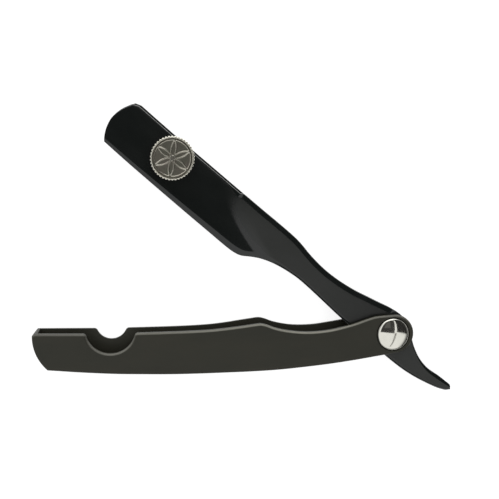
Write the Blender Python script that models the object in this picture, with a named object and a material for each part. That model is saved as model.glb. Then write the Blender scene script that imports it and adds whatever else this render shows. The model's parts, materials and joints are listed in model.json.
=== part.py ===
"""Folding straight razor with a replaceable half blade, modelled as its separate pieces.

The razor lies on its back. The origin is on the pivot's axis in the plane of the handle's back
face, +X runs along the handle from its closed end to the pivot and +Z points up, out of the
front face. Lengths below are in millimetres and angles in degrees; meshes are made in metres.
"""

import math

import bmesh
import bpy

MM = 0.001

# Handle: one channel with a front wall, a back wall, a closed end and a floor along its lower edge.
HANDLE_DEPTH = 9.5
WALL = 1.75
FLOOR = 1.6
EDGE_ROUND = 0.9
PIVOT_END_CENTRE = (0.7, 0.0)
PIVOT_END_RADIUS = 7.5
FLOOR_END_X = -36.0
END_ARC_CENTRE = (-118.4, 2.1)
END_ARC_RADIUS = 17.0
END_ARC_TOP_ANGLE = 177.5
CLOSED_TOP_LEFT = (-134.4, 3.98)
CLOSED_BOTTOM_LEFT = (-130.1, -10.15)
CHANNEL_END = [(-133.4, 20), (-133.4, 2.0), (-132.4, -3.0), (-131.0, -6.6)]
TOP_BEFORE_NOTCH_Y = 3.55
TOP_AFTER_NOTCH_Y = 3.44
FRONT_DROP = 0.4
BACK_TOP_CURVE = [(-88, 3.5), (-78, 3.65), (-70, 4.0), (-64, 4.6), (-58, 5.43), (-54, 5.95),
                  (-51.2, 6.25), (-48.9, 5.75), (-46.5, 4.8), (-43.5, 3.95), (-39, 3.15),
                  (-34, 2.88), (-29, 3.08), (-24, 3.75), (-19, 4.5), (-14.5, 5.4),
                  (-10.5, 6.35), (-6.5, 7.1)]
FRONT_TOP_CURVE = [(-88, 3.08), (-78, 3.2), (-70, 3.47), (-64, 3.97), (-58, 4.63), (-54, 5.13),
                   (-51.2, 5.38), (-48.9, 4.83), (-46.5, 3.88), (-43.5, 3.02), (-39, 2.2),
                   (-34, 1.75), (-29, 1.85), (-24, 2.4), (-19, 3.45), (-14.5, 4.65),
                   (-10.5, 6.0), (-6.5, 7.05)]
BOTTOM_CURVE = [(-126, -10.6), (-120, -11.2), (-113, -11.8), (-105, -12.37), (-95, -12.8),
                (-85, -13.13), (-75, -13.23), (-65, -13.17), (-55, -13.06), (-45, -12.74),
                (-35, -12.02), (-25, -11.1), (-15, -9.88), (-7, -8.7)]

# Pivot: a two-piece rivet, its heads let into round recesses in the two walls.
RIVET_HEAD_RADIUS = 6.15
RECESS_RADIUS = 6.6
RECESS_DEPTH = 0.9
DOME_RISE = 1.35
DOME_RIM_Z = 9.35
BARREL_RADIUS = 2.5
BARREL_BORE_RADIUS = 1.55
BARREL_FLOOR_Z = 1.9
RIVET_SHANK_RADIUS = 1.5
PIVOT_HOLE_RADIUS = 2.6
WASHER_RADIUS = 5.5
WASHER_THICKNESS = 0.5
FACE_GAP = 0.05

# Blade holder: a tang between the walls, a neck, and a thin front leaf. Its own X runs from the
# pivot to its tip and its own Y towards the cutting edge.
HOLDER_ANGLE = 141.2
TIP_ARC_CENTRE = (118.62, 1.65)
TIP_ARC_RADIUS = 14.5
CUTTING_SIDE = [(-33, 4.35), (-29.8, 5.6), (-25.7, 6.6), (-19.4, 7.75), (-13.1, 8.35), (-6, 8.4),
                (4, 8.1), (14, 7.85), (22, 7.4), (30, 6.7), (38, 6.1), (43, 5.95), (49, 6.45),
                (54, 7.38), (58.2, 8.78), (61.8, 10.68), (64.8, 12.48), (67.5, 13.15), (71, 13.3),
                (80, 13.0), (94, 12.48), (110, 11.78), (120, 11.28), (132, 10.5)]
SPINE_SIDE = [(-33.4, 1.45), (-27, 1.5), (-21.3, 1.85), (-16.6, 1.1), (-12.9, -0.35), (-9.2, -2.5),
              (-5.6, -5.55), (-2, -7.35), (2.2, -7.85), (7, -7.3), (11.2, -6.35), (16, -5.35),
              (22, -4.12), (29, -3.3), (35, -3.12), (40, -3.47), (45, -4.2), (49, -5.05),
              (53, -5.6), (60, -5.9), (70, -6.1), (82, -6.45), (98, -6.93), (112, -7.3),
              (126, -7.95), (133, -8.35)]
TIP_ANGLES = (38.6, 34, 29, 24, 19, 14, 9, 4)
TIP_CORNER_ROUND = 0.5
TAIL_END_X = -32.5
TAIL_END_ROUND = 1.45
TAIL_TAPER = 0.7
TAIL_TAPER_START = -8.0
TAIL_TAPER_LENGTH = 26.0
TANG_BACK, TANG_FRONT = 2.35, 7.15
LEAF_BACK, LEAF_FRONT = 4.75, 6.35
PLATE_BACK, PLATE_FRONT = 3.15, 4.45
PLATE_HEEL_X = 78.3
HEEL_GAP = 0.3
LEAF_SPINE_INSET = 0.75
PLATE_CUT_INSET = 0.3
PLATE_TIP_INSET = 0.25

# The neck's front face ramps down to the leaf along a curve that starts at RAMP_START_X.
RAMP_START_X = 85.0
RAMP_LENGTH = 16.5
RAMP_SLANT = 0.9
RAMP_BOW = 0.19

# Bevels along the holder's front edges, as (width, depth).
TAIL_SPINE_BEVEL = (0.7, 0.2)
TAIL_END_BEVEL = (1.5, 0.45)
NECK_SPINE_BEVEL = (2.1, 0.84)
HEAD_SPINE_BEVEL = (0.85, 0.3)
NECK_CUT_BEVEL = (0.8, 0.66)
HEAD_CUT_BEVEL = (2.1, 0.9)
TIP_CUT_BEVEL = (0.95, 0.4)
BACK_BEVEL = (1.0, 0.6)
PLATE_SPINE_BEVEL = (0.85, 0.55)
PLATE_CUT_BEVEL = (1.8, 0.75)

# Clamp: a knurled knob on a threaded stud draws the rear plate towards the front leaf.
KNOB_X = 107.25
KNOB_RADIUS = 8.05
KNOB_TEETH = 42
TOOTH_DEPTH = 0.4
TOOTH_DEPTH_TOP = 0.1
KNOB_BOTTOM, KNOB_TOP = 6.65, 10.9
MEDALLION_RADIUS = 7.2
MEDALLION_BED = 9.9
MEDALLION_FIELD, MEDALLION_BAND = 10.45, 10.65
STUD_RADIUS = 2.0
STUD_HEAD_RADIUS = 3.2
STUD_HEAD_BACK = 9.0
STUD_HOLE_RADIUS = 2.1
STUD_BACK = 0.75
THREAD_GAP = 0.05
BUSH_BACK = 0.05
BUSH_RADIUS = 4.6
BUSH_SPIGOT_RADIUS = 3.0
RING_GROOVE_RADIUS = 1.55
RING_RADIUS = 3.0
RING_BACK, RING_FRONT = 4.95, 5.4
RING_HALF_GAP = 32
RING_POCKET_RADIUS = 3.3
RING_POCKET_TOP = 5.5
BLADE_PIN_RADIUS = 1.1
BLADE_PIN_REACH = 14.5
BLADE_PIN_Y = 1.4
BLADE_PIN_BACK, BLADE_PIN_FRONT = 3.3, 5.85
BLADE_PIN_CHAMFER = 0.25

# The knob drops into the front notch and the bush into the back one when the razor is closed.
# Each notch has a centre height, a radius and the radius of the fillets at its corners.
NOTCH_X = -107.07
FRONT_NOTCH = (4.65, 9.2, 1.2)
BACK_NOTCH = (5.18, 5.8, 1.4)

ROUND_SEGMENTS = 48
SMALL_SEGMENTS = 24


def clear_scene():
    for thing in list(bpy.data.objects):
        bpy.data.objects.remove(thing, do_unlink=True)


def material(name, colour, metallic, roughness):
    made = bpy.data.materials.new(name)
    made.use_nodes = True
    shader = made.node_tree.nodes["Principled BSDF"]
    shader.inputs["Base Color"].default_value = (*colour, 1.0)
    shader.inputs["Metallic"].default_value = metallic
    shader.inputs["Roughness"].default_value = roughness
    return made


def mesh_object(name, points, faces, finish=None, parent=None):
    """A closed mesh from points in millimetres, its faces turned outwards."""
    mesh = bpy.data.meshes.new(name)
    mesh.from_pydata([(x * MM, y * MM, z * MM) for x, y, z in points], [], faces)
    shape = bmesh.new()
    shape.from_mesh(mesh)
    bmesh.ops.recalc_face_normals(shape, faces=shape.faces)
    shape.to_mesh(mesh)
    shape.free()
    mesh.shade_smooth()
    mesh.set_sharp_from_angle(angle=math.radians(30))
    if finish:
        mesh.materials.append(finish)
    made = bpy.data.objects.new(name, mesh)
    made.parent = parent
    bpy.context.scene.collection.objects.link(made)
    return made


def stacked(name, rings, finish=None, parent=None):
    """A solid through rings of equally many points, closed by a flat face at either end."""
    count = len(rings[0])
    points = [point for ring in rings for point in ring]
    faces = [list(range(count))[::-1]]
    for low in range(len(rings) - 1):
        base = low * count
        for i in range(count):
            j = (i + 1) % count
            faces.append([base + i, base + j, base + count + j, base + count + i])
    faces.append([(len(rings) - 1) * count + i for i in range(count)])
    return mesh_object(name, points, faces, finish, parent)


def turned(name, profile, finish=None, parent=None, centre=(0, 0), segments=ROUND_SEGMENTS):
    """A solid of revolution about a line along Z; profile holds (radius, z) in order.

    A profile that starts and ends on the axis makes a full solid; any other is a closed loop.
    """
    points = []
    rows = []
    for radius, z in profile:
        if radius == 0:
            rows.append([len(points)] * segments)
            points.append((centre[0], centre[1], z))
            continue
        rows.append(list(range(len(points), len(points) + segments)))
        for i in range(segments):
            angle = 2 * math.pi * i / segments
            points.append((centre[0] + radius * math.cos(angle),
                           centre[1] + radius * math.sin(angle), z))
    closed = profile[0][0] > 0
    faces = []
    for k in range(len(rows) if closed else len(rows) - 1):
        here, there = rows[k], rows[(k + 1) % len(rows)]
        for i in range(segments):
            j = (i + 1) % segments
            face = list(dict.fromkeys([here[i], here[j], there[j], there[i]]))
            if len(face) > 2:
                faces.append(face)
    return mesh_object(name, points, faces, finish, parent)


def cut(target, tool):
    """Takes the tool away from the target and keeps the tool out of the model."""
    tool.hide_render = True
    tool.display_type = 'WIRE'
    step = target.modifiers.new(tool.name, 'BOOLEAN')
    step.operation = 'DIFFERENCE'
    step.solver = 'EXACT'
    step.object = tool


def drill(target, name, steps, centre=(0, 0), segments=ROUND_SEGMENTS):
    """Cuts a stepped hole; steps holds (radius, low z, high z) from the bottom up."""
    profile = [(0, steps[0][1])]
    for radius, low, high in steps:
        profile += [(radius, low), (radius, high)]
    profile.append((0, steps[-1][2]))
    tool = turned(name, profile, parent=target.parent, centre=centre, segments=segments)
    cut(target, tool)


def curve_at(points, x):
    """The height at x of a smooth curve through points that are in order of x."""
    k = 0
    while k < len(points) - 2 and x > points[k + 1][0]:
        k += 1
    (x0, y0), (x1, y1) = points[k], points[k + 1]
    chord = (y1 - y0) / (x1 - x0)
    before = points[k - 1] if k > 0 else None
    after = points[k + 2] if k < len(points) - 2 else None
    start = (y1 - before[1]) / (x1 - before[0]) if before else chord
    end = (after[1] - y0) / (after[0] - x0) if after else chord
    t = (x - x0) / (x1 - x0)
    span = x1 - x0
    return (y0 * (1 + 2 * t) * (1 - t) ** 2 + start * span * t * (1 - t) ** 2
            + y1 * t * t * (3 - 2 * t) + end * span * t * t * (t - 1))


def smoothstep(t):
    t = min(1.0, max(0.0, t))
    return t * t * (3 - 2 * t)


def arc(centre, radius, start, end, count):
    """Points on a circle from one angle to another, both ends included."""
    angles = [math.radians(start + (end - start) * i / (count - 1)) for i in range(count)]
    return [(centre[0] + radius * math.cos(a), centre[1] + radius * math.sin(a)) for a in angles]


def along(points, count):
    """Evenly spaced points on the smooth curve through the given points, both ends included."""
    low, high = points[0][0], points[-1][0]
    xs = [low + (high - low) * i / count for i in range(count + 1)]
    return [(x, curve_at(points, x)) for x in xs]


def inset(loop, distance):
    """The anticlockwise loop moved inwards by the distance, its corners kept as corners."""
    moved = []
    for i, (x, y) in enumerate(loop):
        ax, ay = loop[i - 1]
        bx, by = loop[(i + 1) % len(loop)]
        first = math.atan2(y - ay, x - ax)
        second = math.atan2(by - y, bx - x)
        turn = (second - first + math.pi) % (2 * math.pi) - math.pi
        normal = first + turn / 2 + math.pi / 2
        reach = distance / math.cos(turn / 2)
        moved.append((x + reach * math.cos(normal), y + reach * math.sin(normal)))
    return moved


def notch(shape, drop):
    """The notch's edge from right to left: fillet, round seat, fillet."""
    centre_y, radius, fillet = shape
    cx, cy = NOTCH_X, centre_y
    right_y, left_y = TOP_AFTER_NOTCH_Y - drop - fillet, TOP_BEFORE_NOTCH_Y - drop - fillet
    reach = radius + fillet
    right_x = cx + math.sqrt(reach ** 2 - (right_y - cy) ** 2)
    left_x = cx - math.sqrt(reach ** 2 - (left_y - cy) ** 2)
    right_end = math.degrees(math.atan2(cy - right_y, cx - right_x))
    left_start = math.degrees(math.atan2(cy - left_y, cx - left_x))
    seat_start = right_end - 180
    seat_end = left_start - 180
    return (arc((right_x, right_y), fillet, 90, right_end, 4)
            + arc((cx, cy), radius, seat_start, seat_end, 15)[1:-1]
            + arc((left_x, left_y), fillet, left_start, 90, 4))


def wall_outline(notch_shape, top_curve, drop):
    """A wall seen from the front, anticlockwise from its closed end's upper corner.

    drop is how much lower than the back wall's its top edge lies.
    """
    (corner_x, corner_y), (centre_x, centre_y) = CLOSED_BOTTOM_LEFT, END_ARC_CENTRE
    end_low = math.degrees(math.atan2(corner_y - centre_y, corner_x - centre_x))
    closed_end = arc(END_ARC_CENTRE, END_ARC_RADIUS, END_ARC_TOP_ANGLE, end_low + 360, 8)
    bottom = along([closed_end[-1]] + BOTTOM_CURVE, 21)[1:]
    pivot_end = arc(PIVOT_END_CENTRE, PIVOT_END_RADIUS, -82, 90, 13)
    notch_edge = notch(notch_shape, drop)
    top = along([notch_edge[0]] + top_curve + [pivot_end[-1]], 38)[1:-1]
    corner = (CLOSED_TOP_LEFT[0], CLOSED_TOP_LEFT[1] - drop)
    return closed_end + bottom + pivot_end + top[::-1] + notch_edge + [corner]


def rounded_rings(loop, z_face, z_side, steps=2):
    """Rings from a flat face at z_face to the full outline at z_side along a quarter round."""
    rings = []
    for i in range(steps + 1):
        angle = math.pi / 2 * i / steps
        inwards = EDGE_ROUND * (1 - math.sin(angle))
        z = z_face + (z_side - z_face) * (1 - math.cos(angle))
        rings.append([(x, y, z) for x, y in inset(loop, inwards)])
    return rings


def handle(finish):
    """The channel: the outer block, less the space for the holder, the recesses and the bore."""
    back = wall_outline(BACK_NOTCH, BACK_TOP_CURVE, 0.0)
    front = wall_outline(FRONT_NOTCH, FRONT_TOP_CURVE, FRONT_DROP)
    rings = rounded_rings(back, 0, EDGE_ROUND)
    rings.append([(x, y, WALL + 0.2) for x, y in back])
    rings.append([(x, y, HANDLE_DEPTH - WALL - 0.2) for x, y in front])
    rings += rounded_rings(front, HANDLE_DEPTH, HANDLE_DEPTH - EDGE_ROUND)[::-1]
    body = stacked("handle", rings, finish)
    cut(body, channel_space())
    front_recess = HANDLE_DEPTH - RECESS_DEPTH
    drill(body, "handle_pivot_hole", [(RECESS_RADIUS, -1, RECESS_DEPTH),
                                      (PIVOT_HOLE_RADIUS, RECESS_DEPTH, front_recess),
                                      (RECESS_RADIUS, front_recess, HANDLE_DEPTH + 1)])
    return body


def channel_space():
    """The space between the walls: open above, and below too from the floor's end to the pivot."""
    floor = [(x, y + FLOOR) for x, y in along([CLOSED_BOTTOM_LEFT] + BOTTOM_CURVE, 21)]
    floor = [(x, y) for x, y in floor if x < FLOOR_END_X]
    beyond = 30
    right = [(FLOOR_END_X, floor[-1][1]), (FLOOR_END_X, -beyond), (beyond, -beyond), (beyond, 20)]
    loop = CHANNEL_END + floor + right
    rings = [[(x, y, z) for x, y in loop] for z in (WALL, HANDLE_DEPTH - WALL)]
    return stacked("channel_space", rings)


def holder_edges(x):
    """The holder's cutting-side and spine-side Y at x, with the tip's arc and the tail's end."""
    low, high = curve_at(SPINE_SIDE, x), curve_at(CUTTING_SIDE, x)
    if x < TAIL_END_X:
        middle = (curve_at(SPINE_SIDE, TAIL_END_X) + curve_at(CUTTING_SIDE, TAIL_END_X)) / 2
        share = math.sqrt(max(0.0, 1 - ((TAIL_END_X - x) / TAIL_END_ROUND) ** 2))
        return middle + (low - middle) * share, middle + (high - middle) * share
    if x > TIP_ARC_CENTRE[0]:
        half = math.sqrt(max(0.0, TIP_ARC_RADIUS ** 2 - (x - TIP_ARC_CENTRE[0]) ** 2))
        high = min(high, TIP_ARC_CENTRE[1] + half)
        gap = TIP_ARC_CENTRE[1] - half - low
        low = low + (gap + math.hypot(gap, TIP_CORNER_ROUND)) / 2
    return low, high


def tail_taper(x):
    """How much thinner the tail's front and back faces are at x."""
    return TAIL_TAPER * smoothstep((TAIL_TAPER_START - x) / TAIL_TAPER_LENGTH)


def holder_front(x, y):
    """Height of the holder's front face, which ramps down from the neck to the thin leaf."""
    ramp_start = RAMP_START_X - RAMP_SLANT * (y + 1) - RAMP_BOW * (y + 1) ** 2
    rise = smoothstep((ramp_start - x) / RAMP_LENGTH)
    return LEAF_FRONT + (TANG_FRONT - LEAF_FRONT) * rise - tail_taper(x)


def blend(x, start, end, first, last):
    """first before start, last after end, and a smooth change between them."""
    return first + (last - first) * smoothstep((x - start) / (end - start))


def front_bevels(x):
    """Width and depth of the front bevel at x, on the spine and on the cutting side."""
    spine = [blend(x, PLATE_HEEL_X, 85, neck, head)
             for neck, head in zip(NECK_SPINE_BEVEL, HEAD_SPINE_BEVEL)]
    share = min(1.0, max(0.0, (x - 66) / 64))
    head_cut = [heel + (tip - heel) * share for heel, tip in zip(HEAD_CUT_BEVEL, TIP_CUT_BEVEL)]
    cutting = [blend(x, 46, 64, neck, head) for neck, head in zip(NECK_CUT_BEVEL, head_cut)]
    if x < 5:
        spine = [blend(x, -28, -12, end, near)
                 for end, near in zip(TAIL_END_BEVEL, TAIL_SPINE_BEVEL)]
    return spine, cutting


def clipped_bevel(x, cutting, width, drop):
    """The cutting-side bevel where the tip's arc cuts into it, as (width, depth)."""
    left = width - (curve_at(CUTTING_SIDE, x) - cutting) if x > TIP_ARC_CENTRE[0] else width
    left = max(left, 0.04)
    return left, drop * left / width


def holder_section(x):
    """The cross-section at x as (y, z) points: front face, spine, back face, cutting side."""
    spine, cutting = holder_edges(x)
    spine += blend(x, PLATE_HEEL_X, PLATE_HEEL_X + 1.5, 0.0, LEAF_SPINE_INSET)
    width = cutting - spine
    (spine_bevel, spine_drop), (cut_bevel, cut_drop) = front_bevels(x)
    cut_bevel, cut_drop = clipped_bevel(x, cutting, cut_bevel, cut_drop)
    inner = cutting - min(cut_bevel, width * 0.3)
    outer = spine + min(spine_bevel, width * 0.3)
    front = [(y, holder_front(x, y)) for y in (inner + (outer - inner) * i / 4 for i in range(5))]
    on_leaf = x > PLATE_HEEL_X - HEEL_GAP
    back = LEAF_BACK if on_leaf else blend(x, 50, 70, TANG_BACK, PLATE_BACK) + tail_taper(x)
    back_bevel, back_rise = (0.0, 0.0) if on_leaf else BACK_BEVEL
    back_bevel = min(back_bevel, width * 0.25) + 0.05
    back_edge = back + back_rise + 0.05
    return ([(cutting, front[0][1] - cut_drop)] + front + [(spine, front[-1][1] - spine_drop)]
            + [(spine, back_edge), (spine + back_bevel, back),
               (cutting - back_bevel, back), (cutting, back_edge)])


def tip_stations(arc_x):
    return [arc_x + TIP_ARC_RADIUS * math.cos(math.radians(angle)) for angle in TIP_ANGLES]


def holder_stations():
    """Places along the holder where its section is drawn, closer together where it turns."""
    tail = [TAIL_END_X - TAIL_END_ROUND * math.sin(math.radians(a)) for a in (84, 62, 42, 22)]
    body = [TAIL_END_X + 2.83 * i for i in range(32)]
    shoulder = [58.5, 60.5, 62.3, 64.0, 65.6, 67.2, 69.5, 72, 75, PLATE_HEEL_X - HEEL_GAP,
                PLATE_HEEL_X - HEEL_GAP + 0.02, 80, 82, 85]
    head = [90, 98, 106, 114, 122, 126.5, 128.6]
    return tail + [x for x in body if x < 57] + shoulder + head + tip_stations(TIP_ARC_CENTRE[0])


def blade_holder(finish, parent):
    """Tail, tang, neck and front leaf in one piece."""
    rings = [[(x, y, z) for y, z in holder_section(x)] for x in holder_stations()]
    body = stacked("blade_holder", rings, finish, parent)
    drill(body, "holder_pivot_hole", [(PIVOT_HOLE_RADIUS, -1, HANDLE_DEPTH + 1)])
    drill(body, "leaf_stud_hole", [(RING_POCKET_RADIUS, 4, RING_POCKET_TOP),
                                   (STUD_HOLE_RADIUS, RING_POCKET_TOP, 8)],
          (KNOB_X, 0), SMALL_SEGMENTS)
    pin_hole = [(BLADE_PIN_RADIUS + THREAD_GAP, 4, BLADE_PIN_FRONT + FACE_GAP)]
    for side, x in blade_pin_places():
        drill(body, "leaf_hole_" + side, pin_hole, (x, BLADE_PIN_Y), SMALL_SEGMENTS)
    return body


def plate_section(x):
    """The clamp plate's cross-section at x: flat in front, its back edges bevelled."""
    spine, cutting = holder_edges(x + PLATE_TIP_INSET if x > 125 else x)
    cutting -= PLATE_CUT_INSET
    width = cutting - spine
    cut_bevel, cut_rise = PLATE_CUT_BEVEL
    spine_bevel, spine_rise = PLATE_SPINE_BEVEL
    corner = 0.15
    return [(cutting, PLATE_FRONT), (spine + corner, PLATE_FRONT), (spine, PLATE_FRONT - corner),
            (spine, PLATE_BACK + spine_rise), (spine + min(spine_bevel, width * 0.3), PLATE_BACK),
            (cutting - min(cut_bevel, width * 0.3), PLATE_BACK), (cutting, PLATE_BACK + cut_rise)]


def clamp_plate(finish, parent):
    """The rear leaf, which presses the blade against the front one."""
    straight = [PLATE_HEEL_X, 84, 90, 98, 106, 114, 122, 126.5, 128.4]
    stations = straight + tip_stations(TIP_ARC_CENTRE[0] - PLATE_TIP_INSET)
    rings = [[(x, y, z) for y, z in plate_section(x)] for x in stations]
    body = stacked("clamp_plate", rings, finish, parent)
    drill(body, "plate_bush_hole", [(BUSH_SPIGOT_RADIUS + THREAD_GAP, 2, 6)], (KNOB_X, 0),
          SMALL_SEGMENTS)
    pin_hole = [(BLADE_PIN_RADIUS + 2 * THREAD_GAP, 2, 6)]
    for side, x in blade_pin_places():
        drill(body, "plate_hole_" + side, pin_hole, (x, BLADE_PIN_Y), SMALL_SEGMENTS)
    return body


def blade_pin_places():
    return [("tip", KNOB_X + BLADE_PIN_REACH), ("heel", KNOB_X - BLADE_PIN_REACH)]


def blade_pins(finish, parent):
    """Two dowels fast in the front leaf: they place the blade and guide the clamp plate."""
    low, radius, chamfer = BLADE_PIN_BACK, BLADE_PIN_RADIUS, BLADE_PIN_CHAMFER
    profile = [(0, low), (radius - chamfer, low), (radius, low + chamfer),
               (radius, BLADE_PIN_FRONT), (0, BLADE_PIN_FRONT)]
    for side, x in blade_pin_places():
        turned("blade_pin_" + side, profile, finish, parent, (x, BLADE_PIN_Y), SMALL_SEGMENTS)


def pivot_rivet(finish):
    """The front half of the rivet: a polished dome with a shank that fills the barrel."""
    under = HANDLE_DEPTH - RECESS_DEPTH + FACE_GAP
    tip = BARREL_FLOOR_Z + 2 * FACE_GAP
    dome = []
    for i in range(6):
        turn = math.pi / 2 * i / 6
        dome.append((RIVET_HEAD_RADIUS * math.cos(turn), DOME_RIM_Z + DOME_RISE * math.sin(turn)))
    profile = [(0, tip), (RIVET_SHANK_RADIUS, tip), (RIVET_SHANK_RADIUS, under),
               (RIVET_HEAD_RADIUS, under)] + dome + [(0, DOME_RIM_Z + DOME_RISE)]
    turned("pivot_rivet", profile, finish)


def pivot_barrel(finish):
    """The back half of the rivet: a flat flush head with the barrel that everything turns on."""
    top = HANDLE_DEPTH - RECESS_DEPTH - FACE_GAP
    shoulder = RECESS_DEPTH - FACE_GAP
    profile = [(0, 0), (RIVET_HEAD_RADIUS - 0.3, 0), (RIVET_HEAD_RADIUS, 0.3),
               (RIVET_HEAD_RADIUS, shoulder), (BARREL_RADIUS, shoulder), (BARREL_RADIUS, top),
               (BARREL_BORE_RADIUS, top), (BARREL_BORE_RADIUS, BARREL_FLOOR_Z),
               (0, BARREL_FLOOR_Z)]
    turned("pivot_barrel", profile, finish)


def pivot_washers(finish):
    """Thin washers that keep the tang off the handle's walls."""
    for name, low in [("pivot_washer_back", WALL + FACE_GAP),
                      ("pivot_washer_front", HANDLE_DEPTH - WALL - FACE_GAP - WASHER_THICKNESS)]:
        high = low + WASHER_THICKNESS
        turned(name, [(PIVOT_HOLE_RADIUS, low), (WASHER_RADIUS, low), (WASHER_RADIUS, high),
                      (PIVOT_HOLE_RADIUS, high)], finish, segments=SMALL_SEGMENTS)


def thumb_knob(finish, parent):
    """The knurled knob, with a bed for the medallion and a seat for the stud's head."""
    def toothed(root, z, depth=TOOTH_DEPTH):
        ring = []
        for i in range(2 * KNOB_TEETH):
            radius = root - (depth if i % 2 else 0)
            angle = math.pi * i / KNOB_TEETH
            ring.append((radius * math.cos(angle), radius * math.sin(angle), z))
        return ring

    rings = [toothed(KNOB_RADIUS - 0.5, KNOB_BOTTOM), toothed(KNOB_RADIUS, KNOB_BOTTOM + 0.5),
             toothed(KNOB_RADIUS, KNOB_TOP - 0.45), toothed(KNOB_RADIUS - 0.25, KNOB_TOP - 0.12),
             toothed(KNOB_RADIUS - 0.6, KNOB_TOP, TOOTH_DEPTH_TOP)]
    body = stacked("thumb_knob", rings, finish, parent)
    drill(body, "knob_bore", [(STUD_RADIUS + THREAD_GAP, 5, STUD_HEAD_BACK),
                              (STUD_HEAD_RADIUS + THREAD_GAP, STUD_HEAD_BACK, MEDALLION_BED),
                              (MEDALLION_RADIUS + THREAD_GAP, MEDALLION_BED, 12)])


def knob_medallion(finish, parent):
    """The disc set in the knob's face: a rim band, a field and a raised centre boss."""
    low, field, band = MEDALLION_BED + FACE_GAP, MEDALLION_FIELD, MEDALLION_BAND
    profile = [(0, low), (MEDALLION_RADIUS, low), (MEDALLION_RADIUS, band), (6.4, band),
               (6.2, field), (2.2, field), (1.9, band), (0, band)]
    turned("knob_medallion", profile, finish, parent)


def clamp_stud(finish, parent):
    """The threaded stud, held in the leaf by a ring in its groove."""
    head_low, head_high = STUD_HEAD_BACK + FACE_GAP, MEDALLION_BED
    profile = [(0, STUD_BACK), (STUD_RADIUS - 0.4, STUD_BACK), (STUD_RADIUS, STUD_BACK + 0.4),
               (STUD_RADIUS, RING_BACK - FACE_GAP), (RING_GROOVE_RADIUS, RING_BACK - FACE_GAP),
               (RING_GROOVE_RADIUS, RING_FRONT + FACE_GAP), (STUD_RADIUS, RING_FRONT + FACE_GAP),
               (STUD_RADIUS, head_low), (STUD_HEAD_RADIUS, head_low),
               (STUD_HEAD_RADIUS, head_high), (0, head_high)]
    turned("clamp_stud", profile, finish, parent, segments=SMALL_SEGMENTS)


def stud_ring(finish, parent):
    """The open retaining ring that keeps the stud from moving along its axis."""
    half_gap = RING_HALF_GAP
    inner_radius = RING_GROOVE_RADIUS + THREAD_GAP
    outer = arc((0, 0), RING_RADIUS, half_gap, 360 - half_gap, 20)
    inner = arc((0, 0), inner_radius, 360 - half_gap, half_gap, 20)
    loop = outer + inner
    rings = [[(x, y, z) for x, y in loop] for z in (RING_BACK, RING_FRONT)]
    stacked("stud_retaining_ring", rings, finish, parent)


def clamp_bush(finish, parent):
    """The round threaded boss riveted into the clamp plate from behind."""
    bore = STUD_RADIUS + THREAD_GAP
    back, shoulder = BUSH_BACK, PLATE_BACK - FACE_GAP
    top = PLATE_FRONT - 0.1
    profile = [(bore + 0.3, back), (BUSH_RADIUS - 0.4, back), (BUSH_RADIUS, back + 0.4),
               (BUSH_RADIUS, shoulder), (BUSH_SPIGOT_RADIUS, shoulder), (BUSH_SPIGOT_RADIUS, top),
               (bore, top), (bore, back + 0.3)]
    turned("clamp_bush", profile, finish, parent, (KNOB_X, 0), SMALL_SEGMENTS)


def axis_empty(name, place, turn=0.0, parent=None):
    made = bpy.data.objects.new(name, None)
    made.location = [value * MM for value in place]
    made.rotation_euler = (0, 0, math.radians(turn))
    made.parent = parent
    bpy.context.scene.collection.objects.link(made)
    return made


def build():
    clear_scene()
    anodised = material("anodised_olive", (0.055, 0.052, 0.042), 0.9, 0.42)
    black = material("black_steel", (0.012, 0.013, 0.014), 0.4, 0.25)
    polished = material("polished_steel", (0.8, 0.79, 0.77), 1.0, 0.12)
    nickel = material("nickel", (0.62, 0.59, 0.53), 1.0, 0.28)
    bronze = material("bronze_washer", (0.5, 0.36, 0.2), 1.0, 0.4)

    handle(anodised)
    pivot_barrel(polished)
    pivot_washers(bronze)
    pivot_rivet(polished)

    fold_axis = axis_empty("fold_axis", (0, 0, 0), HOLDER_ANGLE)
    blade_holder(black, fold_axis)
    blade_pins(polished, fold_axis)
    clamp_plate(black, fold_axis)
    clamp_bush(nickel, fold_axis)

    knob_axis = axis_empty("knob_axis", (KNOB_X, 0, 0), 0.0, fold_axis)
    clamp_stud(polished, knob_axis)
    stud_ring(polished, knob_axis)
    thumb_knob(nickel, knob_axis)
    knob_medallion(nickel, knob_axis)


build()
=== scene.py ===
"""Looks of the folding straight razor: a finely modelled piece for every CAD node, and its studio.

Lengths are in millimetres unless a name says otherwise; meshes are made in metres. The handle's
pieces are drawn in the row frame. The holder's pieces are drawn in the holder's own frame, whose X
runs from the pivot to the tip and whose Y points to the cutting edge, and the knob's about its axis.
"""

import json
import math

import bmesh
import bpy
from mathutils import Matrix, Vector


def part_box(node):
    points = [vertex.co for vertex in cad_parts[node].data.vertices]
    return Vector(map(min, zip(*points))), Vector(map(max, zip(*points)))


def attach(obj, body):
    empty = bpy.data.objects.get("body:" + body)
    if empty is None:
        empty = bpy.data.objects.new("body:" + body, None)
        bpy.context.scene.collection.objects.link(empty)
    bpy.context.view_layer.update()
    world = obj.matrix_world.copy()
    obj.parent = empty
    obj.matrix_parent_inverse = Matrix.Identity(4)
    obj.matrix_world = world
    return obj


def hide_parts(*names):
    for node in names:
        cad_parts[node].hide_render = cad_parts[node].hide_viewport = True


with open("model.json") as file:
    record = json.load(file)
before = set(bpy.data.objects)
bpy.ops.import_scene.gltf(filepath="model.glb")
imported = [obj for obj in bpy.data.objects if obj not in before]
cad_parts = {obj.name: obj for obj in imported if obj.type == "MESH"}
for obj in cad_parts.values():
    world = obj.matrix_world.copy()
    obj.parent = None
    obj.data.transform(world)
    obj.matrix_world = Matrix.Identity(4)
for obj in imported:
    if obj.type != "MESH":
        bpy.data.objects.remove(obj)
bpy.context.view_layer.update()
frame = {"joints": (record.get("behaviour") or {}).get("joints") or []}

MM = 0.001

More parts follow.
